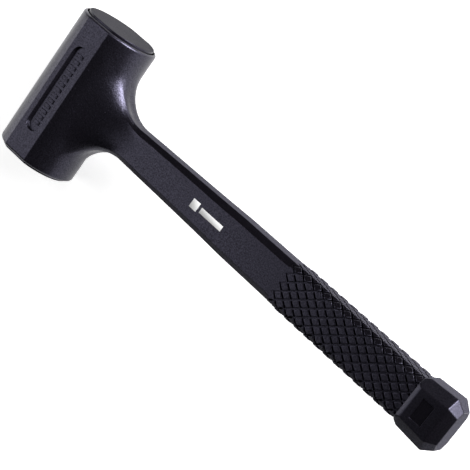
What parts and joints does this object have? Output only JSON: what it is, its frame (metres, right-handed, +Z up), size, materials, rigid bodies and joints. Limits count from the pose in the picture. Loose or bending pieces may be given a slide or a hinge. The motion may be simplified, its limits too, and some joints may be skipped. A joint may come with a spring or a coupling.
{
  "type": "dead blow mallet",
  "caption": "One-piece moulded dead blow mallet: a flat-sided round head filled with shot, an eight-sided handle with a diamond-pad grip and a flared pommel.",
  "frame": {"origin": "centre of the head's lower side flat, under the head's axis", "axes": "+X along the handle from the head to the pommel, +Y along the strike axis out of the front strike face, +Z up, out of the upper side flat"},
  "size_m": [0.325, 0.095, 0.047],
  "materials": {
    "casing": "fine matte moulded polyurethane",
    "strike_face": "smooth satin moulded polyurethane",
    "canister": "drawn steel tube with turned caps",
    "rod": "bright drawn bar",
    "shot": "polished steel balls",
    "mark": "white pad-printed ink"
  },
  "bodies": {
    "root": {"casing": "casing", "strike_face_front": "strike_face", "strike_face_back": "strike_face", "canister_tube": "canister", "canister_cap_front": "canister", "canister_cap_back": "canister", "rod_socket": "rod", "socket_pin": "rod", "core_rod": "rod", "rod_washer": "rod"},
    "shot_charge": {"shot_layer_01": "shot", "shot_layer_02": "shot", "shot_layer_03": "shot", "shot_layer_04": "shot", "shot_layer_05": "shot", "shot_layer_06": "shot", "shot_layer_07": "shot", "shot_layer_08": "shot", "shot_layer_09": "shot", "shot_layer_10": "shot", "shot_layer_11": "shot", "shot_layer_12": "shot"}
  },
  "joints": [
    {"name": "shot_slide", "type": "slide", "parent": "root", "child": "shot_charge", "axis": [0, 1, 0], "range_m": [0, 0.0191]}
  ]
}
